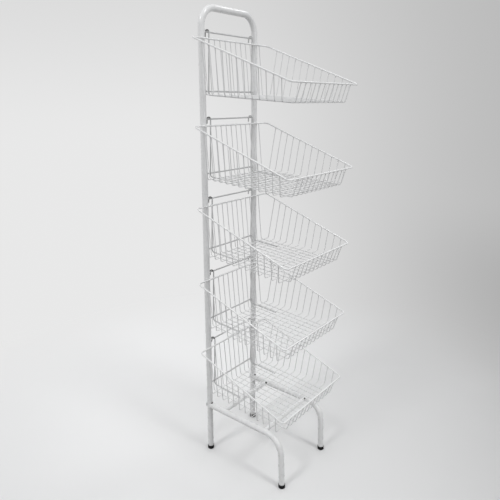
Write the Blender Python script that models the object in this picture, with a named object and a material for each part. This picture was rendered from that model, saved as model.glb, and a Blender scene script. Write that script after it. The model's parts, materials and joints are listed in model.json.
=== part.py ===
"""Five-tier wire basket stand: a bent-tube frame on a four-footed base, with wire baskets hung on cross rods.

Units are metres, +Z is up and the stand faces -Y. The origin is on the floor under the middle of the stand.
"""
import math

import bmesh
import bpy
from mathutils import Matrix, Vector

# Upright frame: one tube bent into a tall arch
FRAME_HEIGHT = 1.500
FRAME_TUBE = 0.020
FRAME_WALL = 0.0015
UPRIGHT_SPACING = 0.248
ARCH_BEND = 0.055

# Cross rods: two per tier, shared out evenly between the arch and the base
ROD_DIAMETER = 0.005
ARCH_TO_TOP_ROD = 0.068
BASE_TO_LOWEST_ROD = 0.087
LEAST_TIER_PITCH = 0.235

# Base: two bent legs that lean forward, joined by two thinner cross tubes and bolted to the uprights
LEG_REACH = 0.3195
LEG_HEIGHT = 0.181
LEG_BEND = 0.062
LEG_SPLAY = math.radians(2.7)
CROSS_TUBE = 0.016
REAR_CROSS_REACH = 0.066
CROSS_TO_BEND = 0.0098

# Rubber foot caps, pushed over the tube ends
CAP_WALL = 0.0010
CAP_HEIGHT = 0.013
CAP_FLOOR = 0.004
CAP_EDGE = 0.0015

# Leg bolts: each passes through an upright into the leg's end
BOLT_SHANK = 0.008
BOLT_HEAD = 0.018
BOLT_HEAD_HEIGHT = 0.005
BOLT_GRIP = 0.014
BOLT_EDGE = 0.3

# Basket, in its own frame: the upper rod's axis is the origin and the bottom is level
BASKET_TILT = math.radians(3.75)
RIM_WIRE = 0.005
RIM_WIDTH = 0.357
RIM_DEPTH = 0.3485
RIM_DROP = 0.0188
RIM_CORNER = 0.011
BACK_HEIGHT = 0.1565
FRONT_HEIGHT = 0.053
BACK_LEAN = math.radians(9.5)
SIDE_LEAN = math.radians(9.0)
FRONT_LEAN = math.radians(14.0)

# Thin wires of the basket: long ones run front to back, cross ones lie on top of them
MESH_WIRE = 0.0025
MESH_BEND = 0.008
LONG_PITCH = 0.024
LONG_MARGIN = 0.0345
CROSS_PITCH = 0.0254
CROSS_MARGIN = 0.0058

# Hangers: two thick wires that hook over the upper rod and lean on the lower one
HANGER_WIRE = 0.004
HANGER_INSET = 0.020
HANGER_BEND = 0.010
HANGER_FOOT = 0.118
HOOK_SLACK = 0.006
HOOK_TAIL = 0.012
HOOK_CONTACT = math.radians(45.0)
LOWER_ROD_LIFT = 0.0097

# Clearances and facets
SEAT_GAP = 0.0003
TUBE_SIDES = 12
ROD_SIDES = 8
RIM_SIDES = 6
WIRE_SIDES = 5
CAP_SIDES = 16
ARCH_STEPS = 6
CORNER_STEPS = 4
HOOK_STEPS = 6
DOME_STEPS = 3
BEND_STEPS = 3
WIRE_BEND_STEPS = 1

# Frame and base sizes that follow
FRAME_RADIUS = FRAME_TUBE / 2
FLAT_OF_TUBE = FRAME_RADIUS * math.cos(math.pi / TUBE_SIDES)
UPRIGHT_X = UPRIGHT_SPACING / 2
LEG_BEND_REACH = LEG_REACH - LEG_HEIGHT * math.tan(LEG_SPLAY)
LEG_BEND_LENGTH = LEG_BEND * math.tan((math.pi / 2 - LEG_SPLAY) / 2)
FRONT_CROSS_REACH = LEG_BEND_REACH - LEG_BEND_LENGTH - CROSS_TO_BEND
CAP_RADIUS = FRAME_RADIUS + SEAT_GAP + CAP_WALL
BOLT_SEAT = FLAT_OF_TUBE + SEAT_GAP

# Basket sizes that follow
RIM_BACK = ROD_DIAMETER / 2 + HOOK_SLACK + HANGER_WIRE + SEAT_GAP + RIM_WIRE / 2
RIM_FALL = (BACK_HEIGHT - FRONT_HEIGHT) / RIM_DEPTH
FLOOR_Z = -RIM_DROP - BACK_HEIGHT
CROSS_FLOOR_Z = FLOOR_Z + MESH_WIRE + SEAT_GAP
BACK_SETBACK = BACK_HEIGHT * math.tan(BACK_LEAN)
FRONT_SETBACK = FRONT_HEIGHT * math.tan(FRONT_LEAN)
LONG_WIRES = 2 * round((RIM_WIDTH / 2 - LONG_MARGIN) / LONG_PITCH)
FIRST_CROSS = BACK_SETBACK + MESH_BEND + CROSS_MARGIN
LAST_CROSS = RIM_DEPTH - FRONT_SETBACK - MESH_BEND - CROSS_MARGIN
CROSS_WIRES = 1 + int((LAST_CROSS - FIRST_CROSS) / CROSS_PITCH)
HANGER_X = (int((UPRIGHT_X - HANGER_INSET) / LONG_PITCH) + 0.25) * LONG_PITCH

# Tier sizes that follow
ROD_DROP = (-FLOOR_Z - LOWER_ROD_LIFT) / math.cos(BASKET_TILT)
TOP_ROD_HEIGHT = FRAME_HEIGHT - FRAME_RADIUS - ARCH_TO_TOP_ROD
LOWEST_ROD_HEIGHT = LEG_HEIGHT + BASE_TO_LOWEST_ROD + ROD_DROP
TIER_STEPS = int((TOP_ROD_HEIGHT - LOWEST_ROD_HEIGHT) / LEAST_TIER_PITCH)
TIER_PITCH = (TOP_ROD_HEIGHT - LOWEST_ROD_HEIGHT) / TIER_STEPS
TIERS = TIER_STEPS + 1

# The stand's front and back, about which the origin is centred
STAND_FRONT = ((RIM_BACK + RIM_DEPTH) * math.cos(BASKET_TILT)
               + (FLOOR_Z + FRONT_HEIGHT) * math.sin(BASKET_TILT) + RIM_WIRE / 2)
STAND_BACK = BOLT_SEAT + BOLT_HEAD_HEIGHT

X_AXIS = Vector((1, 0, 0))
Y_AXIS = Vector((0, 1, 0))
Z_AXIS = Vector((0, 0, 1))


def clear_scene():
    for obj in list(bpy.data.objects):
        bpy.data.objects.remove(obj, do_unlink=True)


def make_material(name, colour, roughness, metallic=0.0):
    material = bpy.data.materials.new(name)
    material.use_nodes = True
    shader = material.node_tree.nodes["Principled BSDF"]
    shader.inputs["Base Color"].default_value = (*colour, 1.0)
    shader.inputs["Roughness"].default_value = roughness
    shader.inputs["Metallic"].default_value = metallic
    return material


def add_object(name, mesh, material, parent=None, location=(0, 0, 0)):
    """Links one named piece, shaded smooth up to a hard edge."""
    if not mesh.materials:
        mesh.materials.append(material)
    mesh.shade_smooth()
    mesh.set_sharp_from_angle(angle=math.radians(80))
    obj = bpy.data.objects.new(name, mesh)
    obj.location = location
    obj.parent = parent
    bpy.context.collection.objects.link(obj)
    return obj


def add_empty(name, location, tilt=0.0):
    empty = bpy.data.objects.new(name, None)
    empty.location = location
    empty.rotation_euler = (tilt, 0, 0)
    empty.empty_display_size = 0.03
    bpy.context.collection.objects.link(empty)
    return empty


def mesh_from(bm, name):
    bmesh.ops.recalc_face_normals(bm, faces=bm.faces)
    mesh = bpy.data.meshes.new(name)
    bm.to_mesh(mesh)
    bm.free()
    return mesh


def combined(base, tool, operation):
    """The Boolean of two meshes, as a new mesh."""
    base_obj = bpy.data.objects.new("boolean_base", base)
    tool_obj = bpy.data.objects.new("boolean_tool", tool)
    for obj in (base_obj, tool_obj):
        bpy.context.collection.objects.link(obj)
    modifier = base_obj.modifiers.new("combine", "BOOLEAN")
    modifier.object = tool_obj
    modifier.operation = operation
    modifier.solver = "EXACT"
    evaluated = base_obj.evaluated_get(bpy.context.evaluated_depsgraph_get())
    result = bpy.data.meshes.new_from_object(evaluated)
    for obj in (base_obj, tool_obj):
        bpy.data.objects.remove(obj, do_unlink=True)
    return result


def rounded_path(corners, radius, steps, closed=False):
    """A polyline whose inner corners become arcs of the given bend radius."""
    count = len(corners)
    path = []
    for i, corner in enumerate(corners):
        if not closed and i in (0, count - 1):
            path.append(corner.copy())
            continue
        before = (corners[i - 1] - corner).normalized()
        after = (corners[(i + 1) % count] - corner).normalized()
        turn = math.pi - before.angle(after)
        setback = radius * math.tan(turn / 2)
        centre = corner + (before + after).normalized() * (radius / math.cos(turn / 2))
        start = corner + before * setback - centre
        axis = before.cross(after)
        for k in range(steps + 1):
            path.append(centre + Matrix.Rotation(-turn * k / steps, 3, axis) @ start)
    return path


def sweep(bm, path, normal, radius, sides, closed=False):
    """A round bar along a flat path: mitred rings of vertices, joined and capped."""
    steps = [(b - a).normalized() for a, b in zip(path, path[1:] + path[:1])]
    if not closed:
        steps[-1] = steps[-2]
    rings = []
    for i, point in enumerate(path):
        leaving = steps[i]
        arriving = steps[i - 1] if closed or i else leaving
        tangent = (arriving + leaving).normalized()
        across = tangent.cross(normal) / tangent.dot(arriving)
        ring = []
        for k in range(sides):
            angle = 2 * math.pi * (k + 0.5) / sides
            offset = normal * math.cos(angle) + across * math.sin(angle)
            ring.append(bm.verts.new(point + offset * radius))
        rings.append(ring)
    following = rings[1:] + rings[:1] if closed else rings[1:]
    for ring, nxt in zip(rings, following):
        for k in range(sides):
            bm.faces.new((ring[k], ring[(k + 1) % sides], nxt[(k + 1) % sides], nxt[k]))
    if not closed:
        bm.faces.new(rings[0])
        bm.faces.new(rings[-1])


def bar_mesh(name, path, normal, diameter, sides):
    bm = bmesh.new()
    sweep(bm, path, normal, diameter / 2, sides)
    return mesh_from(bm, name)


def tube_mesh(name, path, normal, diameter, wall):
    """A hollow tube: the bore is a second bar that runs out past both ends."""
    bore_path = list(path)
    bore_path[0] = path[0] + (path[0] - path[1]).normalized() * wall
    bore_path[-1] = path[-1] + (path[-1] - path[-2]).normalized() * wall
    outer = bar_mesh(name, path, normal, diameter, TUBE_SIDES)
    bore = bar_mesh(name + "_bore", bore_path, normal, diameter - 2 * wall, TUBE_SIDES)
    return combined(outer, bore, "DIFFERENCE")


def turned_mesh(name, profile, sides):
    """A solid of revolution about +Z from (radius, height) points that start and end on the axis."""
    bm = bmesh.new()
    rings = []
    for radius, height in profile:
        if radius == 0:
            rings.append([bm.verts.new((0, 0, height))] * sides)
            continue
        ring = []
        for k in range(sides):
            angle = 2 * math.pi * k / sides
            ring.append(bm.verts.new((radius * math.cos(angle), radius * math.sin(angle), height)))
        rings.append(ring)
    for ring, nxt in zip(rings, rings[1:]):
        for k in range(sides):
            corners = (ring[k], ring[(k + 1) % sides], nxt[(k + 1) % sides], nxt[k])
            bm.faces.new(list(dict.fromkeys(corners)))
    return mesh_from(bm, name)


def frame_mesh():
    """The arch-topped frame, drilled where the leg bolts pass."""
    bottom = CAP_FLOOR + SEAT_GAP
    top = FRAME_HEIGHT - FRAME_RADIUS
    corners = [Vector((-UPRIGHT_X, 0, bottom)), Vector((-UPRIGHT_X, 0, top)),
               Vector((UPRIGHT_X, 0, top)), Vector((UPRIGHT_X, 0, bottom))]
    path = rounded_path(corners, ARCH_BEND, ARCH_STEPS)
    mesh = tube_mesh("upright_frame", path, Y_AXIS, FRAME_TUBE, FRAME_WALL)
    for side in (-1, 1):
        bolt_line = Vector((side * UPRIGHT_X, 0, LEG_HEIGHT))
        hole = [bolt_line - Y_AXIS * FRAME_TUBE, bolt_line + Y_AXIS * FRAME_TUBE]
        drill = bar_mesh("bolt_hole", hole, X_AXIS, BOLT_SHANK + 2 * SEAT_GAP, TUBE_SIDES)
        mesh = combined(mesh, drill, "DIFFERENCE")
    return mesh


def leg_mesh():
    """A front leg in its own frame: the upright's axis is the origin, and the end fits round that tube."""
    bottom = CAP_FLOOR + SEAT_GAP + FRAME_RADIUS * math.sin(LEG_SPLAY)
    corners = [Vector((0, -FRAME_RADIUS / 2, LEG_HEIGHT)), Vector((0, -LEG_BEND_REACH, LEG_HEIGHT)),
               Vector((0, -LEG_REACH + bottom * math.tan(LEG_SPLAY), bottom))]
    path = rounded_path(corners, LEG_BEND, ARCH_STEPS)
    tube = tube_mesh("leg", path, X_AXIS, FRAME_TUBE, FRAME_WALL)
    upright = [Vector((0, 0, LEG_HEIGHT - FRAME_TUBE)), Vector((0, 0, LEG_HEIGHT + FRAME_TUBE))]
    saddle = bar_mesh("saddle", upright, Y_AXIS, FRAME_TUBE + 2 * SEAT_GAP, TUBE_SIDES)
    return combined(tube, saddle, "DIFFERENCE")


def cross_tube_mesh():
    """A base cross tube along X, its ends cut to fit round the leg tubes."""
    ends = [Vector((-UPRIGHT_X, 0, 0)), Vector((UPRIGHT_X, 0, 0))]
    mesh = tube_mesh("cross_tube", ends, Y_AXIS, CROSS_TUBE, FRAME_WALL)
    for side in (-1, 1):
        leg = [Vector((side * UPRIGHT_X, -CROSS_TUBE, 0)), Vector((side * UPRIGHT_X, CROSS_TUBE, 0))]
        saddle = bar_mesh("saddle", leg, X_AXIS, FRAME_TUBE + 2 * SEAT_GAP, TUBE_SIDES)
        mesh = combined(mesh, saddle, "DIFFERENCE")
    return mesh


def rod_mesh():
    """A cross rod between the flats of the two uprights."""
    reach = UPRIGHT_X - FLAT_OF_TUBE - SEAT_GAP
    return bar_mesh("rod", [Vector((-reach, 0, 0)), Vector((reach, 0, 0))], Y_AXIS, ROD_DIAMETER, ROD_SIDES)


def cap_mesh(splay):
    """A rubber ferrule: a cup with a rounded floor edge, flat on the floor under a tube that may lean."""
    bore = FRAME_RADIUS + SEAT_GAP
    inside = [(0, CAP_FLOOR), (bore, CAP_FLOOR), (bore, CAP_HEIGHT)]
    lip = [(CAP_RADIUS - CAP_WALL / 2, CAP_HEIGHT), (CAP_RADIUS, CAP_HEIGHT - CAP_WALL / 2)]
    base = [(CAP_RADIUS, CAP_EDGE), (CAP_RADIUS - CAP_EDGE, 0), (0, 0)]
    mesh = turned_mesh("foot_cap", inside + lip + base, CAP_SIDES)
    mesh.transform(Matrix.Shear("XY", 4, (0, math.tan(splay))))
    return mesh


def bolt_mesh():
    """A domed bolt along +Z: the head's seat is at the origin and the shank runs down -Z."""
    head = BOLT_HEAD / 2
    shank = BOLT_SHANK / 2
    length = FRAME_TUBE + 2 * SEAT_GAP + BOLT_GRIP
    edge = BOLT_HEAD_HEIGHT * BOLT_EDGE
    profile = [(0, BOLT_HEAD_HEIGHT)]
    for k in range(DOME_STEPS - 1, -1, -1):
        angle = math.pi / 2 * k / DOME_STEPS
        profile.append((head * math.cos(angle), edge + (BOLT_HEAD_HEIGHT - edge) * math.sin(angle)))
    profile += [(head, 0), (shank, 0), (shank, -length), (0, -length)]
    return turned_mesh("leg_bolt", profile, TUBE_SIDES)


def rim_height(reach):
    """Height of the sloping rim at a distance in front of its back bar."""
    return -RIM_DROP - reach * RIM_FALL


def rim_mesh():
    half = RIM_WIDTH / 2
    back_left = Vector((-half, -RIM_BACK, rim_height(0)))
    front_left = Vector((-half, -RIM_BACK - RIM_DEPTH, rim_height(RIM_DEPTH)))
    corners = [back_left, back_left + X_AXIS * RIM_WIDTH, front_left + X_AXIS * RIM_WIDTH, front_left]
    normal = X_AXIS.cross(front_left - back_left).normalized()
    path = rounded_path(corners, RIM_CORNER, CORNER_STEPS, closed=True)
    bm = bmesh.new()
    sweep(bm, path, normal, RIM_WIRE / 2, RIM_SIDES, closed=True)
    return mesh_from(bm, "rim")


def basket_wires_mesh():
    """The thin wires under the rim: the long ones front to back, the cross ones side to side above them."""
    bm = bmesh.new()
    back = -RIM_BACK
    front = back - RIM_DEPTH
    for i in range(LONG_WIRES):
        x = (i - (LONG_WIRES - 1) / 2) * LONG_PITCH
        corners = [Vector((x, back, rim_height(0))), Vector((x, back - BACK_SETBACK, FLOOR_Z)),
                   Vector((x, front + FRONT_SETBACK, FLOOR_Z)), Vector((x, front, rim_height(RIM_DEPTH)))]
        sweep(bm, rounded_path(corners, MESH_BEND, WIRE_BEND_STEPS), X_AXIS, MESH_WIRE / 2, WIRE_SIDES)
    half = RIM_WIDTH / 2
    for i in range(CROSS_WIRES):
        reach = FIRST_CROSS + i * CROSS_PITCH
        y = back - reach
        top = rim_height(reach)
        floor_half = half - (top - CROSS_FLOOR_Z) * math.tan(SIDE_LEAN)
        corners = [Vector((-half, y, top)), Vector((-floor_half, y, CROSS_FLOOR_Z)),
                   Vector((floor_half, y, CROSS_FLOOR_Z)), Vector((half, y, top))]
        sweep(bm, rounded_path(corners, MESH_BEND, WIRE_BEND_STEPS), Y_AXIS, MESH_WIRE / 2, WIRE_SIDES)
    return mesh_from(bm, "basket_wires")


def hanger_mesh():
    """A hanger wire: a hook, a leg between the rim and the lower rod, and a foot under the cross wires."""
    contact = ROD_DIAMETER / 2 + HANGER_WIRE / 2 + SEAT_GAP
    rim_seat = Vector((0, -RIM_BACK + RIM_WIRE / 2 + HANGER_WIRE / 2 + SEAT_GAP, -RIM_DROP))
    lower_rod = Vector((0, -ROD_DROP * math.sin(BASKET_TILT), -ROD_DROP * math.cos(BASKET_TILT)))
    rod_seat = lower_rod - Y_AXIS * contact
    leg = (rod_seat - rim_seat).normalized()

    def on_leg(height):
        return rim_seat + leg * ((height - rim_seat.z) / leg.z)

    stand_off = -on_leg(0).y
    hook = (stand_off + contact * math.sin(HOOK_CONTACT)) / (1 + math.sin(HOOK_CONTACT))
    drop = (hook - contact) * math.cos(HOOK_CONTACT)
    hook_centre = on_leg(-drop) + Y_AXIS * hook
    foot = CROSS_FLOOR_Z - MESH_WIRE / 2 - HANGER_WIRE / 2 - SEAT_GAP
    heel = on_leg(foot)
    lower = rounded_path([on_leg(-drop), heel, heel - Y_AXIS * HANGER_FOOT], HANGER_BEND, BEND_STEPS)
    path = [hook_centre + Y_AXIS * hook - Z_AXIS * HOOK_TAIL]
    for k in range(HOOK_STEPS):
        angle = math.pi * k / HOOK_STEPS
        path.append(hook_centre + Vector((0, math.cos(angle), math.sin(angle))) * hook)
    return bar_mesh("hanger", path + lower, X_AXIS, HANGER_WIRE, RIM_SIDES)


def build_frame(paint, rubber, zinc, parent):
    add_object("upright_frame", frame_mesh(), paint, parent)
    rod = rod_mesh()
    for tier in range(TIERS):
        height = TOP_ROD_HEIGHT - tier * TIER_PITCH
        add_object(f"upper_rod_{tier + 1}", rod, paint, parent, (0, 0, height))
        add_object(f"lower_rod_{tier + 1}", rod, paint, parent, (0, 0, height - ROD_DROP))
    leg = leg_mesh()
    rear_cap = cap_mesh(0)
    front_cap = cap_mesh(LEG_SPLAY)
    bolt = bolt_mesh()
    for side, x in (("left", -UPRIGHT_X), ("right", UPRIGHT_X)):
        add_object(f"leg_{side}", leg, paint, parent, (x, 0, 0))
        add_object(f"foot_cap_rear_{side}", rear_cap, rubber, parent, (x, 0, 0))
        add_object(f"foot_cap_front_{side}", front_cap, rubber, parent, (x, -LEG_REACH, 0))
        head = add_object(f"leg_bolt_{side}", bolt, zinc, parent, (x, BOLT_SEAT, LEG_HEIGHT))
        head.rotation_euler = (-math.pi / 2, 0, 0)
    cross = cross_tube_mesh()
    add_object("cross_tube_rear", cross, paint, parent, (0, -REAR_CROSS_REACH, LEG_HEIGHT))
    add_object("cross_tube_front", cross, paint, parent, (0, -FRONT_CROSS_REACH, LEG_HEIGHT))


def build_baskets(paint, parent):
    cage = combined(rim_mesh(), basket_wires_mesh(), "UNION")
    hanger = hanger_mesh()
    for tier in range(TIERS):
        height = TOP_ROD_HEIGHT - tier * TIER_PITCH
        pivot = add_empty(f"basket_{tier + 1}_pivot", (0, 0, height), BASKET_TILT)
        pivot.parent = parent
        add_object(f"basket_{tier + 1}_cage", cage, paint, pivot)
        for side, x in (("left", -HANGER_X), ("right", HANGER_X)):
            add_object(f"basket_{tier + 1}_hanger_{side}", hanger, paint, pivot, (x, 0, 0))


def main():
    clear_scene()
    paint = make_material("white_powder_coat", (0.84, 0.85, 0.86), 0.38)
    rubber = make_material("black_rubber", (0.02, 0.02, 0.022), 0.75)
    zinc = make_material("bolt_steel", (0.62, 0.63, 0.64), 0.35, 1.0)
    stand = add_empty("stand", (0, (STAND_FRONT - STAND_BACK) / 2, 0))
    build_frame(paint, rubber, zinc, stand)
    build_baskets(paint, stand)


main()
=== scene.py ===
"""Looks of the wire basket stand: smooth tubes and wires, welds, paint and wear, in a pale studio."""
import json
import math

import bmesh
import bpy
from mathutils import Matrix, Vector


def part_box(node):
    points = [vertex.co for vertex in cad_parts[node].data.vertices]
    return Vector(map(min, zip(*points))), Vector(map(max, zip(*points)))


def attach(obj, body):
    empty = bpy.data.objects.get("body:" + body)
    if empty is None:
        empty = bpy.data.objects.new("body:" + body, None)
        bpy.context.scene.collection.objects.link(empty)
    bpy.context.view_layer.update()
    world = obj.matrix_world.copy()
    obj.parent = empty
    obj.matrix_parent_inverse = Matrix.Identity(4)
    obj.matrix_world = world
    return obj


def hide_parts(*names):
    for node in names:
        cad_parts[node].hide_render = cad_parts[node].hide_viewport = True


# Camera, matched to the photograph
CAMERA_PLACE = (-1.26876, -0.92741, 1.23265)
CAMERA_YAW = math.radians(-51.330)
CAMERA_PITCH = math.radians(-16.611)
CAMERA_ROLL = math.radians(0.114)
CAMERA_LENS = 36.32

# Frame and base sizes, as in the part
FRAME_HEIGHT = 1.500
TUBE_RADIUS = 0.010
UPRIGHT_X = 0.124
ARCH_BEND = 0.055
ROD_RADIUS = 0.0025
LEG_REACH = 0.3195
LEG_HEIGHT = 0.181
LEG_BEND = 0.062
LEG_SPLAY = math.radians(2.7)
CROSS_RADIUS = 0.008
SEAT_GAP = 0.0003

# Rubber foot caps: sizes as in the part, with a rounded edge, a hollow sole and a soft lip
CAP_RADIUS = 0.0113
CAP_HEIGHT = 0.013
CAP_FLOOR = 0.004
CAP_EDGE = 0.0016
CAP_TREAD = 0.0008
CAP_HOLLOW = 0.0006
CAP_LIP = 0.0006
CAP_SEAM = 0.0002
CAP_BITE = 0.0005
CAP_TUCK = 0.0010
CAP_CENTRE = 0.0010
CAP_EDGE_STEPS = 6
CAP_LIP_STEPS = 4

# Leg bolts: a button head with a hexagon socket, on a washer as wide as the part's bolt head
BOLT_HEIGHT = 0.005
BOLT_SHANK = 0.004
BOLT_BITE = 0.006
WASHER_RADIUS = 0.009
WASHER_HEIGHT = 0.0012
WASHER_EDGE = 0.0002
CROWN_RADIUS = 0.0079
CROWN_EDGE = 0.0001
CROWN_SKIRT = 0.0008
CROWN_RISE = 0.0028
CROWN_SWEEP = math.radians(60.0)
SOCKET_HALF = 0.0025
SOCKET_CHAMFER = 0.0001
SOCKET_DEPTH = 0.0025
DRILL_POINT = 0.0010
DRILL_TIP = 0.0004
CROWN_STEPS = 6
BOLT_SIDES = 48

# Basket sizes, as in the part: the upper rod's axis is the origin and the bottom is level
BASKET_TILT = math.radians(3.75)
RIM_RADIUS = 0.0025
RIM_HALF = 0.1785
RIM_BACK = 0.0153
RIM_DEPTH = 0.3485
RIM_DROP = 0.0188
RIM_CORNER = 0.011
BACK_HEIGHT = 0.1565
FRONT_HEIGHT = 0.053
BACK_LEAN = math.radians(9.5)
SIDE_LEAN = math.radians(9.0)
FRONT_LEAN = math.radians(14.0)
WIRE_RADIUS = 0.00125
WIRE_BEND = 0.008
LONG_WIRES = 12
LONG_PITCH = 0.024
CROSS_WIRES = 12
CROSS_PITCH = 0.0254
FIRST_CROSS = 0.040
HANGER_RADIUS = 0.002
HANGER_X = 0.102
HANGER_BEND = 0.010
HANGER_FOOT = 0.118
HOOK_TAIL = 0.012
HOOK_CONTACT = math.radians(45.0)
LOWER_ROD_LIFT = 0.0097

# Welds: nuggets between wires and beads round bar ends, and dark spots in the top creases of some joints
WELD_BITE = 0.0004
CROSSING_WELD = Vector((1.625, 1.625, 1.25)) * WIRE_RADIUS
RIM_WELD = Vector((1.5, 1.5, 1.725)) * WIRE_RADIUS
HANGER_RIM_WELD = Vector((1.5, 1.0, 1.5)) * HANGER_RADIUS
HANGER_FOOT_WELD = Vector((1.1, 1.0, 0.9)) * HANGER_RADIUS
CREASE_SPOT = Vector((0.0044, 0.0040, 0.0040))
CREASE_SPOT_RISE = math.radians(30.0)
ROD_BEAD = 0.0009
CROSS_BEAD = 0.0014
BEAD_RIPPLE = 0.14
RIPPLE_STEPS = 4.5

# Facets of the visible surfaces
HARD_EDGE = math.radians(42.0)
END_CHAMFER = 0.3
TUBE_SIDES = 40
ROD_SIDES = 20
RIM_SIDES = 14
WIRE_SIDES = 10
WELD_SIDES = 8
BEND_STEPS = 18
RIM_STEPS = 12
HEEL_STEPS = 8
WIRE_STEPS = 6
BEAD_STEPS = 36
NUGGET_STEPS = 5

# Basket sizes that follow
FLOOR_Z = -RIM_DROP - BACK_HEIGHT
CROSS_FLOOR_Z = FLOOR_Z + 2 * WIRE_RADIUS - WELD_BITE
ROD_DROP = (-FLOOR_Z - LOWER_ROD_LIFT) / math.cos(BASKET_TILT)
FRONT_Y = -RIM_BACK - RIM_DEPTH
LONG_XS = [(i - (LONG_WIRES - 1) / 2) * LONG_PITCH for i in range(LONG_WIRES)]
CROSS_REACHES = [FIRST_CROSS + i * CROSS_PITCH for i in range(CROSS_WIRES)]

# White coats: how white, how much darker in clouds and scuffs, and an orange-peel skin of a given roughness
TUBE_SKIN = {"peel_scale": 900.0, "peel": 0.12, "roughness": 0.28}
WIRE_SKIN = {"peel_scale": 1300.0, "peel": 0.08, "roughness": 0.33}
WELD_SKIN = {"peel_scale": 2200.0, "peel": 0.35, "roughness": 0.45}
TUBE_COAT = {"white": 0.80, "cloud": 0.03, "scuff": 0.13, **TUBE_SKIN}
# Rims and wires share one white finish; the wire coat is a darker copy of it, painted shade for wires that
# show only their side-lit faces.
RIM_COAT = {"white": 0.81, "cloud": 0.03, "scuff": 0.12, **WIRE_SKIN}
WIRE_COAT_PAINTED_SHADE = {"white": 0.73, "cloud": 0.04, "scuff": 0.13, **WIRE_SKIN}
DULL_COAT = {"white": 0.56, "cloud": 0.04, "scuff": 0.13, **WIRE_SKIN}
WELD_COAT = {"white": 0.72, "cloud": 0.05, "scuff": 0.16, **WELD_SKIN}
CLOUD_TINT = (0.0, 0.002, 0.005)
SCUFF_TINT = (0.0, 0.0, -0.01)
GLOSS_SPREAD = (-0.06, 0.08)
CLEAR_COAT = 0.5
CLEAR_ROUGHNESS = 0.14

# Wear of the hooks, and the colours of bare steel, the dark crease spots, rubber and zinc
HOOK_WEAR_ALONG = (0.0, 0.8, 0.6)
HOOK_WEAR_SPAN = (-0.0095, -0.0035)
STEEL_DARK = (0.08, 0.08, 0.082)
STEEL_LIGHT = (0.16, 0.157, 0.152)
CREASE_SPOT_BLACK = (0.025, 0.024, 0.024)
CREASE_SPOT_BROWN = (0.060, 0.042, 0.032)
RUBBER_DARK = (0.005, 0.005, 0.0055)
RUBBER_LIGHT = (0.011, 0.011, 0.0115)
RUBBER_SHEEN = 0.15
DUST = (0.05, 0.049, 0.047)
DUST_SPAN = (0.0, 0.0025)
ZINC_DARK = (0.66, 0.67, 0.68)
ZINC_LIGHT = (0.74, 0.75, 0.76)

# Studio: a round floor that curves up into a wall, paper near the stand and a glowing backdrop further off
STUDIO_RADIUS = 2.7
STUDIO_CURVE = 1.1
STUDIO_HEIGHT = 2.15
STUDIO_CENTRE = 0.01
STUDIO_SIDES = 96
PAPER_FADE = (0.9, 1.6)
PAPER_SHADE = (0.72, 0.72, 0.72)
PAPER_BOUNCE = (0.36, 0.36, 0.36)
PAPER_ROUGHNESS = 0.9
PAPER_SHEEN = 0.1
# The paper's colour darkens towards the camera's right: painted shade, a falloff of light painted into the
# floor.
FLOOR_ALONG = (0.5, -0.866, 0.0)
FLOOR_SPAN = (-0.8, 2.35)
FLOOR_LEFT = (0.81, 0.81, 0.81)
FLOOR_RIGHT_PAINTED_SHADE = (0.30, 0.30, 0.30)
# The backdrop's glow darkens towards the camera's right and towards the top: painted shade, a falloff of
# light painted into the glow.
BACKDROP_ALONG = (0.625, -0.781, 0.0)
BACKDROP_SPAN = (-0.9, 2.5)
BACKDROP_LEFT = (0.81, 0.81, 0.81)
BACKDROP_RIGHT_PAINTED_SHADE = (0.46, 0.46, 0.46)
BACKDROP_TOP_LEFT = (0.71, 0.71, 0.71)
BACKDROP_TOP_RIGHT_PAINTED_SHADE = (0.46, 0.46, 0.46)
BACKDROP_FOOT = (0.0, 0.6)
BACKDROP_RISE = (0.9, 2.15)

# Fill light: brighter behind the stand and higher up, with the sky above the wall
FILL_ALONG = (0.1, 0.99, 0.0)
FILL_SPAN = (-2.2, 2.2)
FILL_FRONT = (0.42, 0.42, 0.42)
FILL_BACK = (0.96, 0.96, 0.96)
FILL_FLOOR = (0.13, 0.13, 0.13)
FILL_RISE = (0.0, 1.2)
FILL_ABOVE = (0.73, 0.74, 0.75)

# Soft lamps, each with its tilt from overhead, its turn from the front and its strength, and a softbox
LAMPS = (("front", math.radians(35.0), 0.0, 0.65),
         ("left", math.radians(45.0), math.radians(-97.0), 0.72),
         ("right", math.radians(50.0), math.radians(74.0), 0.25))
LAMP_ANGLE = math.radians(12.0)
SOFTBOX_PLACE = (0.1, -1.45, 1.25)
SOFTBOX_SIZE = (0.9, 0.9)
SOFTBOX_POWER = 4.0

# Colour sockets of Blender's Mix node
MIX_FIRST = 6
MIX_SECOND = 7
MIX_RESULT = 2

# World axes
X_AXIS = Vector((1, 0, 0))
Y_AXIS = Vector((0, 1, 0))
Z_AXIS = Vector((0, 0, 1))


def link(thing):
    """Puts an object into the scene."""
    bpy.context.scene.collection.objects.link(thing)


def add_piece(name, mesh, material, body, nodes=(), place=Matrix()):
    """Links a piece, lets it ride on a body and stand for CAD nodes."""
    piece = bpy.data.objects.new(name, mesh)
    if not mesh.materials:
        mesh.materials.append(material)
    link(piece)
    piece.matrix_world = place
    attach(piece, body)
    if nodes:
        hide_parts(*nodes)


def node_centre(node):
    """Centre of a CAD node's box."""
    low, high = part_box(node)
    return (low + high) / 2


def finish_mesh(bm, name):
    """Turns a bmesh into a mesh that is smooth except at hard edges."""
    bmesh.ops.recalc_face_normals(bm, faces=bm.faces)
    mesh = bpy.data.meshes.new(name)
    bm.to_mesh(mesh)
    bm.free()
    mesh.shade_smooth()
    mesh.set_sharp_from_angle(angle=HARD_EDGE)
    return mesh


def tilted_mesh(bm, name):
    """A mesh of the basket, turned from its own level frame to the way it hangs."""
    bm.transform(Matrix.Rotation(BASKET_TILT, 4, "X"))
    return finish_mesh(bm, name)


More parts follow.
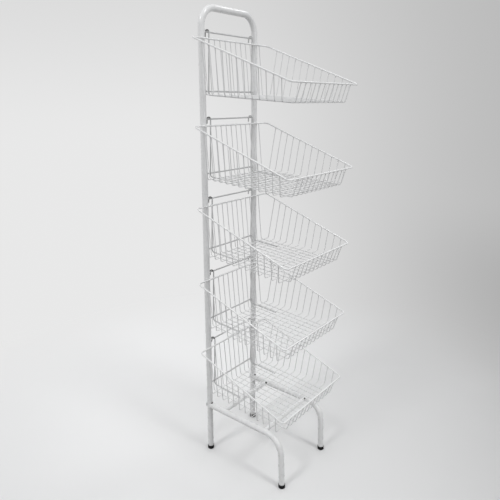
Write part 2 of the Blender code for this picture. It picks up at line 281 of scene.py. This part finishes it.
def rounded_path(corners, radius, steps, closed=False):
    """A polyline whose inner corners become arcs of the given bend radius."""
    count = len(corners)
    path = []
    for i, corner in enumerate(corners):
        if not closed and i in (0, count - 1):
            path.append(corner.copy())
            continue
        before = (corners[i - 1] - corner).normalized()
        after = (corners[(i + 1) % count] - corner).normalized()
        turn = math.pi - before.angle(after)
        centre = corner + (before + after).normalized() * (radius / math.cos(turn / 2))
        start = corner + before * (radius * math.tan(turn / 2)) - centre
        axis = before.cross(after)
        for k in range(steps + 1):
            path.append(centre + Matrix.Rotation(-turn * k / steps, 3, axis) @ start)
    return path


def quarter_arc(radius, height, bend, start, steps):
    """A quarter circle of (radius, height) points about a centre, from a start angle."""
    angles = [start + math.pi / 2 * k / steps for k in range(steps + 1)]
    return [(radius + bend * math.cos(angle), height + bend * math.sin(angle)) for angle in angles]


def ring_at(point, normal, across, radius, sides):
    """A ring of points about a point, in the plane of two directions."""
    ring = []
    for k in range(sides):
        angle = 2 * math.pi * k / sides
        ring.append(point + (normal * math.cos(angle) + across * math.sin(angle)) * radius)
    return ring


def hex_ring(flat, height, sides):
    """A hexagon about Z with as many points as a round ring."""
    ring = []
    for k in range(sides):
        angle = 2 * math.pi * k / sides
        reach = flat / math.cos((angle + math.pi / 6) % (math.pi / 3) - math.pi / 6)
        ring.append(Vector((reach * math.cos(angle), reach * math.sin(angle), height)))
    return ring


def turned_rings(profile, sides):
    """Rings about Z, one for each (radius, height) point."""
    return [ring_at(Z_AXIS * height, X_AXIS, Y_AXIS, radius, sides) for radius, height in profile]


def sweep_rings(path, normals, radius, sides, closed=False):
    """Mitred rings along a path, with one normal for each point."""
    steps = [(b - a).normalized() for a, b in zip(path, path[1:] + path[:1])]
    if not closed:
        steps[-1] = steps[-2]
    rings = []
    for i, point in enumerate(path):
        arriving = steps[i - 1] if closed or i else steps[i]
        tangent = (arriving + steps[i]).normalized()
        across = tangent.cross(normals[i]).normalized() / tangent.dot(arriving)
        rings.append(ring_at(point, normals[i], across, radius, sides))
    return rings


def add_rings(bm, rings, closed=False, open_end=False):
    """Joins rings of points into a skin, with its ends filled unless they meet or the last stays open."""
    made = [[bm.verts.new(point) for point in ring] for ring in rings]
    sides = len(made[0])
    following = made[1:] + made[:1] if closed else made[1:]
    for ring, nxt in zip(made, following):
        for k in range(sides):
            bm.faces.new((ring[k], ring[(k + 1) % sides], nxt[(k + 1) % sides], nxt[k]))
    if not closed:
        bm.faces.new(made[0])
    if not closed and not open_end:
        bm.faces.new(made[-1])


def add_wire(bm, path, normal, radius, sides):
    """A round wire whose cut ends have a small chamfer."""
    rings = sweep_rings(path, [normal] * len(path), radius, sides)
    for end, inner in ((0, 1), (-1, -2)):
        centre = path[end]
        outward = (centre - path[inner]).normalized() * radius * END_CHAMFER
        tip = [centre + (point - centre) * (1 - END_CHAMFER) + outward for point in rings[end]]
        rings = [tip] + rings if end == 0 else rings + [tip]
    add_rings(bm, rings)


def add_nugget(bm, centre, size):
    """A small weld nugget, swollen between two wires."""
    rings = []
    for k in range(1, NUGGET_STEPS):
        angle = math.pi * k / NUGGET_STEPS
        level = centre + Z_AXIS * (size.z * math.cos(angle))
        rings.append(ring_at(level, X_AXIS * size.x, Y_AXIS * size.y, math.sin(angle), WELD_SIDES))
    add_rings(bm, rings)


def add_bead(bm, end, side, radius, across, bead):
    """A rippled weld bead where a round bar along X meets a tube, whose width runs across."""
    path = []
    normals = []
    for k in range(BEAD_STEPS):
        angle = 2 * math.pi * k / BEAD_STEPS
        out = Y_AXIS * math.cos(angle) + Z_AXIS * math.sin(angle)
        offset = out.dot(across) * radius
        sag = TUBE_RADIUS - math.sqrt(TUBE_RADIUS ** 2 - offset ** 2)
        path.append(end + out * radius + X_AXIS * (side * sag))
        normals.append(out)
    rings = sweep_rings(path, normals, bead, WELD_SIDES, closed=True)
    for k, ring in enumerate(rings):
        ripple = 1 + BEAD_RIPPLE * math.sin(2 * math.pi * k / RIPPLE_STEPS)
        ring[:] = [path[k] + (point - path[k]) * ripple for point in ring]
    add_rings(bm, rings, closed=True)


def node_setup(name):
    """A new material, its node tree and its shader."""
    material = bpy.data.materials.new(name)
    material.use_nodes = True
    tree = material.node_tree
    return material, tree, tree.nodes["Principled BSDF"]


def place_on(tree):
    """The piece's own coordinates, so that a pattern moves with the piece."""
    return tree.nodes.new("ShaderNodeTexCoord").outputs["Object"]


def noise(tree, scale, detail=3.0, roughness=0.55):
    """Cloudy noise fixed to the piece."""
    texture = tree.nodes.new("ShaderNodeTexNoise")
    texture.inputs["Scale"].default_value = scale
    texture.inputs["Detail"].default_value = detail
    texture.inputs["Roughness"].default_value = roughness
    tree.links.new(place_on(tree), texture.inputs["Vector"])
    return texture.outputs["Fac"]


def spread(tree, value, low=0.0, high=1.0, start=0.3, end=0.7):
    """Maps a value between start and end on to a range from low to high."""
    node = tree.nodes.new("ShaderNodeMapRange")
    node.inputs["From Min"].default_value = start
    node.inputs["From Max"].default_value = end
    node.inputs["To Min"].default_value = low
    node.inputs["To Max"].default_value = high
    tree.links.new(value, node.inputs["Value"])
    return node.outputs["Result"]


def math_node(tree, operation, first, second):
    """One arithmetic step on two values."""
    node = tree.nodes.new("ShaderNodeMath")
    node.operation = operation
    tree.links.new(first, node.inputs[0])
    tree.links.new(second, node.inputs[1])
    return node.outputs["Value"]


def along(tree, direction, span):
    """How far a point of the piece lies along a direction, as a smooth 0 to 1 over a span."""
    node = tree.nodes.new("ShaderNodeVectorMath")
    node.operation = "DOT_PRODUCT"
    node.inputs[1].default_value = direction
    tree.links.new(place_on(tree), node.inputs[0])
    start, end = span
    reach = spread(tree, node.outputs["Value"], start=start, end=end)
    reach.node.interpolation_type = "SMOOTHSTEP"
    return reach


def mixed(tree, factor, first, second):
    """A blend of two colours, each a plain tuple or another node's output."""
    node = tree.nodes.new("ShaderNodeMix")
    node.data_type = "RGBA"
    tree.links.new(factor, node.inputs["Factor"])
    for socket, value in ((node.inputs[MIX_FIRST], first), (node.inputs[MIX_SECOND], second)):
        if isinstance(value, tuple):
            socket.default_value = (*value, 1.0)
        else:
            tree.links.new(value, socket)
    return node.outputs[MIX_RESULT]


def bumped(tree, shader, height, strength, distance):
    """Gives a shader a fine relief from a height value."""
    node = tree.nodes.new("ShaderNodeBump")
    node.inputs["Strength"].default_value = strength
    node.inputs["Distance"].default_value = distance
    tree.links.new(height, node.inputs["Height"])
    tree.links.new(node.outputs["Normal"], shader.inputs["Normal"])


def coat_material(name, white, cloud, scuff, peel_scale, peel, roughness):
    """White paint: faint cloudiness, rubbed marks and the orange-peel skin of a baked coat."""
    material, tree, shader = node_setup(name)
    cloudy = tuple(white - cloud + tint for tint in CLOUD_TINT)
    scuffed = tuple(white - scuff + tint for tint in SCUFF_TINT)
    clouds = mixed(tree, spread(tree, noise(tree, scale=9.0)), (white, white, white), cloudy)
    rubbed = noise(tree, scale=38.0, detail=6.0, roughness=0.7)
    marks = spread(tree, rubbed, high=0.35, start=0.63, end=0.75)
    tree.links.new(mixed(tree, marks, clouds, scuffed), shader.inputs["Base Color"])
    low, high = (roughness + change for change in GLOSS_SPREAD)
    tree.links.new(spread(tree, noise(tree, scale=60.0, detail=4.0), low, high), shader.inputs["Roughness"])
    bumped(tree, shader, noise(tree, peel_scale, detail=2.0), strength=peel, distance=0.0006)
    shader.inputs["Coat Weight"].default_value = CLEAR_COAT
    shader.inputs["Coat Roughness"].default_value = CLEAR_ROUGHNESS
    return material


def worn_hook_material(coat):
    """A coat that is rubbed through to dark bare steel where the hook bears on its rod."""
    material = coat.copy()
    material.name = "worn_hook_coat"
    tree = material.node_tree
    shader = tree.nodes["Principled BSDF"]
    ragged = spread(tree, noise(tree, scale=700.0, detail=4.0), low=-0.5, high=0.5)
    rubbed = math_node(tree, "ADD", along(tree, HOOK_WEAR_ALONG, HOOK_WEAR_SPAN), ragged)
    bare = spread(tree, rubbed, start=0.4, end=0.6)
    steel = mixed(tree, spread(tree, noise(tree, scale=900.0, detail=5.0)), STEEL_DARK, STEEL_LIGHT)
    paint_layer = shader.inputs["Base Color"].links[0].from_socket
    tree.links.new(mixed(tree, bare, paint_layer, steel), shader.inputs["Base Color"])
    clear = spread(tree, bare, low=CLEAR_COAT, high=0.0, start=0.0, end=1.0)
    tree.links.new(clear, shader.inputs["Coat Weight"])
    return material


def crease_spot_material():
    """A dark spot for the top creases of joints: near-black with dark brown patches."""
    material, tree, shader = node_setup("crease_spot")
    brown_patches = spread(tree, noise(tree, scale=600.0, detail=5.0), start=0.45, end=0.75)
    tree.links.new(mixed(tree, brown_patches, CREASE_SPOT_BLACK, CREASE_SPOT_BROWN), shader.inputs["Base Color"])
    tree.links.new(spread(tree, brown_patches, low=0.5, high=0.8), shader.inputs["Roughness"])
    bumped(tree, shader, noise(tree, scale=1800.0), strength=0.4, distance=0.0003)
    return material


def rubber_material():
    """Black rubber with a moulded grain, and a little dust close to the floor."""
    material, tree, shader = node_setup("rubber_black")
    low_down = spread(tree, along(tree, Z_AXIS, DUST_SPAN), low=1.0, high=0.0, start=0.0, end=1.0)
    patches = spread(tree, noise(tree, scale=420.0, detail=5.0), high=0.4)
    dusty = math_node(tree, "MULTIPLY", low_down, patches)
    black = mixed(tree, spread(tree, noise(tree, scale=90.0)), RUBBER_DARK, RUBBER_LIGHT)
    tree.links.new(mixed(tree, dusty, black, DUST), shader.inputs["Base Color"])
    tree.links.new(spread(tree, noise(tree, scale=300.0), low=0.5, high=0.72), shader.inputs["Roughness"])
    shader.inputs["Specular IOR Level"].default_value = RUBBER_SHEEN
    bumped(tree, shader, noise(tree, scale=1600.0, detail=2.0), strength=0.25, distance=0.0004)
    return material


def zinc_material():
    """Bright zinc plating with a fine mottled grain."""
    material, tree, shader = node_setup("zinc_plate")
    grain = spread(tree, noise(tree, scale=260.0, detail=5.0))
    tree.links.new(mixed(tree, grain, ZINC_DARK, ZINC_LIGHT), shader.inputs["Base Color"])
    shader.inputs["Metallic"].default_value = 1.0
    haze = spread(tree, noise(tree, scale=500.0, detail=4.0), low=0.22, high=0.4)
    tree.links.new(haze, shader.inputs["Roughness"])
    bumped(tree, shader, noise(tree, scale=1800.0, detail=2.0), strength=0.15, distance=0.0003)
    return material


def make_materials():
    """The object's materials, by what they cover. Only the left hooks are worn, as in the photograph."""
    dull = coat_material("white_dull_coat", **DULL_COAT)
    return {"tube": coat_material("white_powder_coat", **TUBE_COAT),
            "rim": coat_material("white_rim_coat", **RIM_COAT),
            # The thin wires take the darker copy of the white coat: painted shade.
            "wire": coat_material("white_wire_coat_painted_shade", **WIRE_COAT_PAINTED_SHADE),
            "weld": coat_material("white_weld_coat", **WELD_COAT),
            "rod": dull,
            "left_hook": worn_hook_material(dull),
            "right_hook": dull,
            "crease_spot": crease_spot_material(),
            "rubber": rubber_material(),
            "bolt": zinc_material()}


def seen_rays(tree):
    """1 for the rays that show the backdrop itself, 0 for those that light the object."""
    rays = tree.nodes.new("ShaderNodeLightPath").outputs
    seen = math_node(tree, "MAXIMUM", rays["Is Camera Ray"], rays["Is Glossy Ray"])
    return math_node(tree, "MAXIMUM", seen, rays["Is Transmission Ray"])


def floor_tone_painted_shade(tree):
    """Pale paper, darker towards the right of the camera's view: painted shade for light falling off to that
    side.
    """
    return mixed(tree, along(tree, FLOOR_ALONG, FLOOR_SPAN), FLOOR_LEFT, FLOOR_RIGHT_PAINTED_SHADE)


def backdrop_tone(tree):
    """Colour of the far backdrop: pale to the eye and in reflections, darker to the right and up high as
    painted shade, and a fill tone as light on the object.
    """
    rightward = along(tree, BACKDROP_ALONG, BACKDROP_SPAN)
    pale = mixed(tree, rightward, BACKDROP_LEFT, BACKDROP_RIGHT_PAINTED_SHADE)
    pale = mixed(tree, along(tree, Z_AXIS, BACKDROP_FOOT), floor_tone_painted_shade(tree), pale)
    top = mixed(tree, rightward, BACKDROP_TOP_LEFT, BACKDROP_TOP_RIGHT_PAINTED_SHADE)
    pale = mixed(tree, along(tree, Z_AXIS, BACKDROP_RISE), pale, top)
    fill = mixed(tree, along(tree, FILL_ALONG, FILL_SPAN), FILL_FRONT, FILL_BACK)
    fill = mixed(tree, along(tree, Z_AXIS, FILL_RISE), FILL_FLOOR, fill)
    return mixed(tree, seen_rays(tree), fill, pale)


def studio_material():
    """White paper near the stand, which takes its shadow, fading into the backdrop."""
    material, tree, shader = node_setup("studio_paper")
    # The paper's seen colour carries the painted shade of the floor tone.
    paper = mixed(tree, spread(tree, noise(tree, scale=1.3), high=0.2), floor_tone_painted_shade(tree), PAPER_SHADE)
    tree.links.new(mixed(tree, seen_rays(tree), PAPER_BOUNCE, paper), shader.inputs["Base Color"])
    shader.inputs["Roughness"].default_value = PAPER_ROUGHNESS
    shader.inputs["Specular IOR Level"].default_value = PAPER_SHEEN
    glow = tree.nodes.new("ShaderNodeEmission")
    tree.links.new(backdrop_tone(tree), glow.inputs["Color"])
    reach = tree.nodes.new("ShaderNodeVectorMath")
    reach.operation = "LENGTH"
    tree.links.new(place_on(tree), reach.inputs[0])
    near, far = PAPER_FADE
    blend = tree.nodes.new("ShaderNodeMixShader")
    tree.links.new(spread(tree, reach.outputs["Value"], start=near, end=far), blend.inputs["Fac"])
    tree.links.new(shader.outputs["BSDF"], blend.inputs[1])
    tree.links.new(glow.outputs["Emission"], blend.inputs[2])
    tree.links.new(blend.outputs["Shader"], tree.nodes["Material Output"].inputs["Surface"])
    return material


def rim_height(reach):
    """Height of the sloping rim at a distance in front of its back bar."""
    return -RIM_DROP - reach * (BACK_HEIGHT - FRONT_HEIGHT) / RIM_DEPTH


def rim_mesh():
    """The thick wire round the top of the basket."""
    back_left = Vector((-RIM_HALF, -RIM_BACK, rim_height(0)))
    front_left = Vector((-RIM_HALF, FRONT_Y, rim_height(RIM_DEPTH)))
    width = X_AXIS * 2 * RIM_HALF
    normal = X_AXIS.cross(front_left - back_left).normalized()
    corners = [back_left, back_left + width, front_left + width, front_left]
    path = rounded_path(corners, RIM_CORNER, RIM_STEPS, closed=True)
    bm = bmesh.new()
    add_rings(bm, sweep_rings(path, [normal] * len(path), RIM_RADIUS, RIM_SIDES, closed=True), closed=True)
    return tilted_mesh(bm, "rim")


def long_wires_mesh():
    """Wires that run down the back, along the bottom and up the front."""
    bm = bmesh.new()
    for x in LONG_XS:
        corners = [Vector((x, -RIM_BACK, rim_height(0))),
                   Vector((x, -RIM_BACK - BACK_HEIGHT * math.tan(BACK_LEAN), FLOOR_Z)),
                   Vector((x, FRONT_Y + FRONT_HEIGHT * math.tan(FRONT_LEAN), FLOOR_Z)),
                   Vector((x, FRONT_Y, rim_height(RIM_DEPTH)))]
        add_wire(bm, rounded_path(corners, WIRE_BEND, WIRE_STEPS), X_AXIS, WIRE_RADIUS, WIRE_SIDES)
    return tilted_mesh(bm, "long_wires")


def cross_wires_mesh():
    """Wires that run down one side, across the bottom and up the other side."""
    bm = bmesh.new()
    for reach in CROSS_REACHES:
        y = -RIM_BACK - reach
        top = rim_height(reach)
        half = RIM_HALF - (top - CROSS_FLOOR_Z) * math.tan(SIDE_LEAN)
        corners = [Vector((-RIM_HALF, y, top)), Vector((-half, y, CROSS_FLOOR_Z)),
                   Vector((half, y, CROSS_FLOOR_Z)), Vector((RIM_HALF, y, top))]
        add_wire(bm, rounded_path(corners, WIRE_BEND, WIRE_STEPS), Y_AXIS, WIRE_RADIUS, WIRE_SIDES)
    return tilted_mesh(bm, "cross_wires")


def hanger_path():
    """Centre line of a hanger: hook, leg between the rim and the lower rod, and foot."""
    contact = ROD_RADIUS + HANGER_RADIUS + SEAT_GAP
    rim_seat = Vector((0, -RIM_BACK + RIM_RADIUS + HANGER_RADIUS + SEAT_GAP, -RIM_DROP))
    rod_seat = Vector((0, -ROD_DROP * math.sin(BASKET_TILT) - contact, -ROD_DROP * math.cos(BASKET_TILT)))
    leg = (rod_seat - rim_seat).normalized()

    def on_leg(height):
        return rim_seat + leg * ((height - rim_seat.z) / leg.z)

    hook = (contact * math.sin(HOOK_CONTACT) - on_leg(0).y) / (1 + math.sin(HOOK_CONTACT))
    drop = (hook - contact) * math.cos(HOOK_CONTACT)
    centre = on_leg(-drop) + Y_AXIS * hook
    heel = on_leg(CROSS_FLOOR_Z - WIRE_RADIUS - HANGER_RADIUS + WELD_BITE)
    path = [centre + Y_AXIS * hook - Z_AXIS * HOOK_TAIL]
    for k in range(BEND_STEPS):
        angle = math.pi * k / BEND_STEPS
        path.append(centre + Vector((0, math.cos(angle), math.sin(angle))) * hook)
    return path + rounded_path([on_leg(-drop), heel, heel - Y_AXIS * HANGER_FOOT], HANGER_BEND, HEEL_STEPS)


def hanger_mesh(path):
    """The thick wire along a hanger's centre line."""
    bm = bmesh.new()
    add_wire(bm, path, X_AXIS, HANGER_RADIUS, RIM_SIDES)
    return tilted_mesh(bm, "hanger")


def basket_welds_mesh(foot_back, foot_front):
    """Nuggets where wires cross, where they meet the rim, and along the hangers and their feet."""
    bm = bmesh.new()
    for x in LONG_XS:
        for reach in CROSS_REACHES:
            add_nugget(bm, Vector((x, -RIM_BACK - reach, (FLOOR_Z + CROSS_FLOOR_Z) / 2)), CROSSING_WELD)
        add_nugget(bm, Vector((x, -RIM_BACK, rim_height(0) - RIM_RADIUS)), RIM_WELD)
        add_nugget(bm, Vector((x, FRONT_Y, rim_height(RIM_DEPTH) - RIM_RADIUS)), RIM_WELD)
    for side in (-1, 1):
        x = side * HANGER_X
        add_nugget(bm, Vector((x, -RIM_BACK + RIM_RADIUS, -RIM_DROP)), HANGER_RIM_WELD)
        for reach in CROSS_REACHES:
            y = -RIM_BACK - reach
            add_nugget(bm, Vector((side * RIM_HALF, y, rim_height(reach) - RIM_RADIUS)), RIM_WELD)
            if foot_back > y > foot_front:
                add_nugget(bm, Vector((x, y, CROSS_FLOOR_Z - WIRE_RADIUS)), HANGER_FOOT_WELD)
    return tilted_mesh(bm, "basket_welds")


def frame_mesh(stand_y):
    """The tube that is bent into a tall arch."""
    top = FRAME_HEIGHT - TUBE_RADIUS
    corners = [Vector((-UPRIGHT_X, stand_y, CAP_FLOOR)), Vector((-UPRIGHT_X, stand_y, top)),
               Vector((UPRIGHT_X, stand_y, top)), Vector((UPRIGHT_X, stand_y, CAP_FLOOR))]
    path = rounded_path(corners, ARCH_BEND, BEND_STEPS)
    bm = bmesh.new()
    add_rings(bm, sweep_rings(path, [Y_AXIS] * len(path), TUBE_RADIUS, TUBE_SIDES))
    return finish_mesh(bm, "frame_tube")


def leg_mesh():
    """A leg that leans forward, its end fitted round the upright on the origin."""
    lean = math.tan(LEG_SPLAY)
    corners = [Vector((0, 0, LEG_HEIGHT)), Vector((0, -LEG_REACH + LEG_HEIGHT * lean, LEG_HEIGHT)),
               Vector((0, -LEG_REACH + CAP_FLOOR * lean, CAP_FLOOR))]
    path = rounded_path(corners, LEG_BEND, BEND_STEPS)
    rings = sweep_rings(path, [X_AXIS] * len(path), TUBE_RADIUS, TUBE_SIDES)
    for point in rings[0]:
        point.y -= math.sqrt(max(TUBE_RADIUS ** 2 - point.x ** 2, 0.0))
    bm = bmesh.new()
    add_rings(bm, rings)
    return finish_mesh(bm, "leg_tube")


def cross_tube_mesh():
    """A cross tube along X, its ends fitted round the legs."""
    ends = [X_AXIS * -UPRIGHT_X, X_AXIS * UPRIGHT_X]
    rings = sweep_rings(ends, [Y_AXIS] * 2, CROSS_RADIUS, TUBE_SIDES)
    for ring, inward in zip(rings, (1, -1)):
        for point in ring:
            point.x += inward * math.sqrt(TUBE_RADIUS ** 2 - point.z ** 2)
    bm = bmesh.new()
    add_rings(bm, rings)
    return finish_mesh(bm, "cross_tube")


def rod_mesh():
    """A cross rod along X, its ends just inside the uprights' walls."""
    reach = UPRIGHT_X - TUBE_RADIUS + SEAT_GAP
    bm = bmesh.new()
    add_rings(bm, sweep_rings([X_AXIS * -reach, X_AXIS * reach], [Y_AXIS] * 2, ROD_RADIUS, ROD_SIDES))
    return finish_mesh(bm, "rod")


def frame_welds_mesh(rods, crosses):
    """Beads round the ends of the rods and of the cross tubes."""
    bm = bmesh.new()
    for side in (-1, 1):
        outward = X_AXIS * side * (UPRIGHT_X - TUBE_RADIUS)
        for centre in rods:
            add_bead(bm, centre + outward, side, ROD_RADIUS, Y_AXIS, ROD_BEAD)
        for centre in crosses:
            add_bead(bm, centre + outward, side, CROSS_RADIUS, Z_AXIS, CROSS_BEAD)
    return finish_mesh(bm, "frame_welds")


def crease_spots_mesh(stand_y, crosses):
    """Dark spots in the top creases of joints: in front of each cross tube's right end and on top of each
    leg's end.
    """
    bm = bmesh.new()
    front = Z_AXIS * math.sin(CREASE_SPOT_RISE) - Y_AXIS * math.cos(CREASE_SPOT_RISE)
    for centre in crosses:
        add_nugget(bm, centre + X_AXIS * (UPRIGHT_X - TUBE_RADIUS) + front * CROSS_RADIUS, CREASE_SPOT)
    for x in (-UPRIGHT_X, UPRIGHT_X):
        add_nugget(bm, Vector((x, stand_y - TUBE_RADIUS, LEG_HEIGHT + TUBE_RADIUS)), CREASE_SPOT)
    return finish_mesh(bm, "crease_spots")


def cap_mesh(splay):
    """A rubber cap, flat on the floor under a tube that may lean."""
    tread = CAP_RADIUS - CAP_EDGE - CAP_TREAD
    profile = [(CAP_CENTRE, CAP_HOLLOW), (tread - CAP_HOLLOW, CAP_HOLLOW), (tread, 0.0)]
    profile += quarter_arc(CAP_RADIUS - CAP_EDGE, CAP_EDGE, CAP_EDGE, -math.pi / 2, CAP_EDGE_STEPS)
    profile += quarter_arc(CAP_RADIUS - CAP_LIP, CAP_HEIGHT - CAP_LIP, CAP_LIP, 0.0, CAP_LIP_STEPS)
    profile += [(TUBE_RADIUS, CAP_HEIGHT - CAP_SEAM), (TUBE_RADIUS - CAP_BITE, CAP_HEIGHT - CAP_TUCK),
                (CAP_CENTRE, CAP_FLOOR)]
    bm = bmesh.new()
    add_rings(bm, turned_rings(profile, TUBE_SIDES))
    bm.transform(Matrix.Shear("XY", 4, (0, math.tan(splay))))
    return finish_mesh(bm, "foot_cap")


def bolt_mesh():
    """A button-head bolt on a washer, its seat at the origin and its head along +Z."""
    profile = [(BOLT_SHANK, -BOLT_BITE), (BOLT_SHANK, 0.0), (WASHER_RADIUS - WASHER_EDGE, 0.0),
               (WASHER_RADIUS, WASHER_EDGE), (WASHER_RADIUS, WASHER_HEIGHT - WASHER_EDGE),
               (WASHER_RADIUS - WASHER_EDGE, WASHER_HEIGHT), (CROWN_RADIUS - CROWN_EDGE, WASHER_HEIGHT)]
    for k in range(CROWN_STEPS + 1):
        angle = CROWN_SWEEP * k / CROWN_STEPS
        height = WASHER_HEIGHT + CROWN_SKIRT + CROWN_RISE * math.sin(angle)
        profile.append((CROWN_RADIUS * math.cos(angle), height))
    rings = turned_rings(profile, BOLT_SIDES)
    rings.append(hex_ring(SOCKET_HALF + SOCKET_CHAMFER, BOLT_HEIGHT - SOCKET_CHAMFER, BOLT_SIDES))
    rings.append(hex_ring(SOCKET_HALF, BOLT_HEIGHT - SOCKET_DEPTH, BOLT_SIDES))
    rings += turned_rings([(DRILL_TIP, BOLT_HEIGHT - SOCKET_DEPTH - DRILL_POINT)], BOLT_SIDES)
    bm = bmesh.new()
    add_rings(bm, rings)
    return finish_mesh(bm, "leg_bolt")


def add_frame(frame, materials):
    """The fixed body: arch, rods, cross tubes, welds, legs, foot caps and bolts."""
    stand_y = node_centre("upright_frame").y
    tube = materials["tube"]
    add_piece("frame_tube", frame_mesh(stand_y), tube, "frame", ["upright_frame"])
    rods = {node: node_centre(node) for node in sorted(frame["nodes"]) if "_rod_" in node}
    crosses = {node: node_centre(node) for node in ("cross_tube_rear", "cross_tube_front")}
    for bars, mesh, coat in ((rods, rod_mesh(), materials["rod"]), (crosses, cross_tube_mesh(), tube)):
        for node, centre in bars.items():
            add_piece(f"{node}_bar", mesh, coat, "frame", [node], Matrix.Translation(centre))
    welds = frame_welds_mesh(rods.values(), crosses.values())
    add_piece("frame_welds", welds, materials["weld"], "frame")
    # Dark spots in the top creases of the joints, near-black with brown patches.
    spots = crease_spots_mesh(stand_y, crosses.values())
    add_piece("crease_spots", spots, materials["crease_spot"], "frame")
    leg = leg_mesh()
    bolt = bolt_mesh()
    feet = (("rear", 0.0, cap_mesh(0.0)), ("front", LEG_REACH, cap_mesh(LEG_SPLAY)))
    for side, x in (("left", -UPRIGHT_X), ("right", UPRIGHT_X)):
        add_piece(f"leg_{side}_tube", leg, tube, "frame", [f"leg_{side}"],
                  Matrix.Translation((x, stand_y, 0)))
        for end, reach, cap in feet:
            add_piece(f"foot_{end}_{side}", cap, materials["rubber"], "frame",
                      [f"foot_cap_{end}_{side}"], Matrix.Translation((x, stand_y - reach, 0)))
        seat = Matrix.Translation((x, stand_y + TUBE_RADIUS - SEAT_GAP, LEG_HEIGHT))
        add_piece(f"bolt_{side}", bolt, materials["bolt"], "frame", [f"leg_bolt_{side}"],
                  seat @ Matrix.Rotation(-math.pi / 2, 4, "X"))


def add_baskets(frame, materials):
    """The five baskets, each hung on its hinge from the same meshes."""
    path = hanger_path()
    cage = (("rim", rim_mesh(), materials["rim"]),
            ("long_wires", long_wires_mesh(), materials["wire"]),
            ("cross_wires", cross_wires_mesh(), materials["wire"]))
    welds = basket_welds_mesh(path[-2].y, path[-1].y)
    hangers = (("left", -HANGER_X, hanger_mesh(path), materials["left_hook"]),
               ("right", HANGER_X, hanger_mesh(path), materials["right_hook"]))
    for joint in frame["joints"]:
        body = joint["child"]
        place = Matrix.Translation(joint["pos_m"])
        for name, mesh, coat in cage:
            add_piece(f"{body}_{name}", mesh, coat, body, [f"{body}_cage"], place)
        add_piece(f"{body}_welds", welds, materials["weld"], body, place=place)
        for side, x, mesh, coat in hangers:
            add_piece(f"{body}_hook_{side}", mesh, coat, body, [f"{body}_hanger_{side}"],
                      place @ Matrix.Translation((x, 0, 0)))


def add_studio():
    """A round pale studio: a floor that curves up into a wall, open above."""
    profile = [(STUDIO_CENTRE, 0.0)]
    flat = STUDIO_RADIUS - STUDIO_CURVE
    profile += quarter_arc(flat, STUDIO_CURVE, STUDIO_CURVE, -math.pi / 2, BEND_STEPS)
    profile.append((STUDIO_RADIUS, STUDIO_HEIGHT))
    bm = bmesh.new()
    add_rings(bm, turned_rings(profile, STUDIO_SIDES), open_end=True)
    mesh = finish_mesh(bm, "studio")
    mesh.materials.append(studio_material())
    studio = bpy.data.objects.new("studio", mesh)
    link(studio)


def add_light(data, place, turned):
    """Sets a lamp at a place, turned by three angles."""
    light = bpy.data.objects.new(data.name, data)
    light.location = place
    light.rotation_euler = turned
    link(light)


def add_lights():
    """Soft lamps round the stand, and a softbox in front of it."""
    for name, tilt, turn, strength in LAMPS:
        data = bpy.data.lights.new(name, "SUN")
        data.energy = strength
        data.angle = LAMP_ANGLE
        add_light(data, (0.0, 0.0, STUDIO_HEIGHT), (tilt, 0.0, turn))
    softbox = bpy.data.lights.new("softbox", "AREA")
    softbox.shape = "RECTANGLE"
    softbox.size, softbox.size_y = SOFTBOX_SIZE
    softbox.energy = SOFTBOX_POWER
    add_light(softbox, SOFTBOX_PLACE, (math.pi / 2, 0.0, 0.0))


def add_world():
    """The sky above the studio: the wall's tone to the eye and in reflections, darker to the right as
    painted shade, and fill on the object.
    """
    world = bpy.data.worlds.new("studio_world")
    world.use_nodes = True
    tree = world.node_tree
    rightward = along(tree, BACKDROP_ALONG, [reach / STUDIO_RADIUS for reach in BACKDROP_SPAN])
    top = mixed(tree, rightward, BACKDROP_TOP_LEFT, BACKDROP_TOP_RIGHT_PAINTED_SHADE)
    tone = mixed(tree, seen_rays(tree), FILL_ABOVE, top)
    tree.links.new(tone, tree.nodes["Background"].inputs["Color"])
    bpy.context.scene.world = world


def add_camera():
    """The camera at the photograph's place and angle."""
    data = bpy.data.cameras.new("camera")
    data.lens = CAMERA_LENS
    camera = bpy.data.objects.new("camera", data)
    camera.matrix_world = (Matrix.Translation(CAMERA_PLACE) @ Matrix.Rotation(CAMERA_YAW, 4, "Z")
                           @ Matrix.Rotation(math.pi / 2 + CAMERA_PITCH, 4, "X")
                           @ Matrix.Rotation(CAMERA_ROLL, 4, "Z"))
    link(camera)
    bpy.context.scene.camera = camera


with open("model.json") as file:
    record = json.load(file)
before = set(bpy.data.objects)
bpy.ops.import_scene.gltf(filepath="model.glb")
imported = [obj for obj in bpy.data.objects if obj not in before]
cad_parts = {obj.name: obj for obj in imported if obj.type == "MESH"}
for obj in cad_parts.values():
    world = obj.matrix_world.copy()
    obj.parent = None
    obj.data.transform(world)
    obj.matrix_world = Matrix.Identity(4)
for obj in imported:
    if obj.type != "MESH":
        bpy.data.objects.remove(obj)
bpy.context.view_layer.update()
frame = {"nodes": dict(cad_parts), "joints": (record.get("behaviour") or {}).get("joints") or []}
bpy.context.scene.view_settings.view_transform = "Standard"
add_camera()
materials = make_materials()
add_frame(frame, materials)
add_baskets(frame, materials)
add_studio()
add_lights()
add_world()
